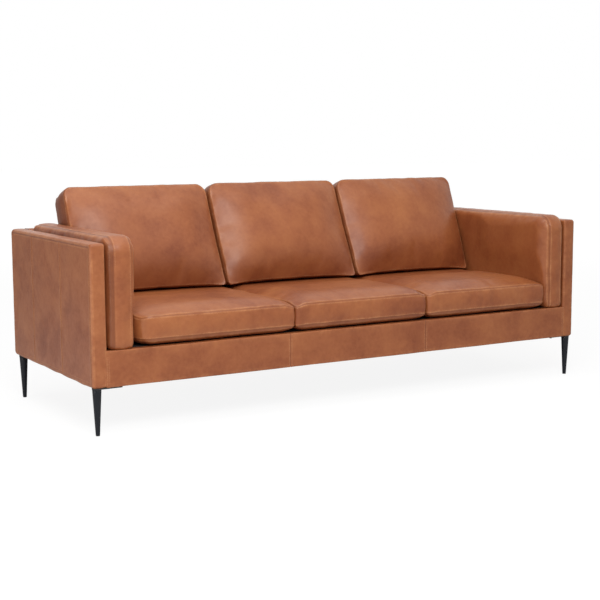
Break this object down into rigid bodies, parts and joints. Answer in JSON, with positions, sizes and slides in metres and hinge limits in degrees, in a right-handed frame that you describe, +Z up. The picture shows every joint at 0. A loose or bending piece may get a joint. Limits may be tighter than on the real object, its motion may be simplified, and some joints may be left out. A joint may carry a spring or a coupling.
{
  "type": "sofa",
  "caption": "Leather sofa with slim arm and back shells, fixed arm pads, loose seat and back cushions, a sprung timber base and slim tapered black legs.",
  "frame": {"origin": "on the floor under the middle of the sofa's bounding box", "axes": "+X along the sofa to the right as seen from the front, -Y towards the front, +Z up"},
  "size_m": [2.2, 0.832, 0.8382],
  "materials": {
    "leather": "satin",
    "black_wood": "satin",
    "black_nylon": "matte",
    "black_steel": "satin",
    "steel": "satin",
    "timber": "matte",
    "plywood": "matte",
    "lining": "matte",
    "felt": "matte",
    "foam": "matte",
    "fibre_fill": "matte",
    "zip_tape": "matte"
  },
  "bodies": {
    "frame": {"leg_front_left": "black_wood", "leg_front_right": "black_wood", "leg_rear_right": "black_wood", "leg_rear_left": "black_wood", "leg_glides": "black_nylon", "leg_plates": "black_steel", "leg_bolts": "steel", "plate_screws": "steel", "front_rail": "timber", "side_rails": "timber", "rear_rail": "timber", "cross_rails": "timber", "corner_blocks": "timber", "spring_batten": "timber", "springs_left": "steel", "springs_middle": "steel", "springs_right": "steel", "spring_clips": "steel", "deck_felt": "felt", "deck_cloth": "lining", "dust_cover": "lining", "front_rail_wadding": "felt", "front_rail_cover": "leather", "arm_board_left": "plywood", "arm_board_right": "plywood", "arm_wadding_left": "felt", "arm_wadding_right": "felt", "arm_cover_left": "leather", "arm_cover_right": "leather", "frame_bolts": "steel", "back_ribs": "plywood", "back_low_rail": "timber", "back_head_rail": "timber", "back_leg_blocks": "timber", "back_panel": "plywood", "back_webbing": "lining", "back_foam": "foam", "back_cover": "leather", "arm_pad_core_left": "foam", "arm_pad_core_right": "foam", "arm_pad_cover_left": "leather", "arm_pad_cover_right": "leather"},
    "seat_left": {"seat_core_left": "foam", "seat_cover_left": "leather", "seat_zip_left": "zip_tape"},
    "back_left": {"back_fill_left": "fibre_fill", "back_cushion_cover_left": "leather", "back_zip_left": "zip_tape"},
    "seat_middle": {"seat_core_middle": "foam", "seat_cover_middle": "leather", "seat_zip_middle": "zip_tape"},
    "back_middle": {"back_fill_middle": "fibre_fill", "back_cushion_cover_middle": "leather", "back_zip_middle": "zip_tape"},
    "seat_right": {"seat_core_right": "foam", "seat_cover_right": "leather", "seat_zip_right": "zip_tape"},
    "back_right": {"back_fill_right": "fibre_fill", "back_cushion_cover_right": "leather", "back_zip_right": "zip_tape"}
  },
  "joints": [
    {"name": "seat_left_slide", "type": "slide", "parent": "frame", "child": "seat_left", "axis": [0, -1, 0], "range_m": [0, 0.64]},
    {"name": "seat_middle_slide", "type": "slide", "parent": "frame", "child": "seat_middle", "axis": [0, -1, 0], "range_m": [0, 0.64]},
    {"name": "seat_right_slide", "type": "slide", "parent": "frame", "child": "seat_right", "axis": [0, -1, 0], "range_m": [0, 0.64]},
    {"name": "back_left_lift", "type": "slide", "parent": "frame", "child": "back_left", "axis": [0, 0, 1], "range_m": [0, 0.32]},
    {"name": "back_middle_lift", "type": "slide", "parent": "frame", "child": "back_middle", "axis": [0, 0, 1], "range_m": [0, 0.32]},
    {"name": "back_right_lift", "type": "slide", "parent": "frame", "child": "back_right", "axis": [0, 0, 1], "range_m": [0, 0.32]}
  ]
}
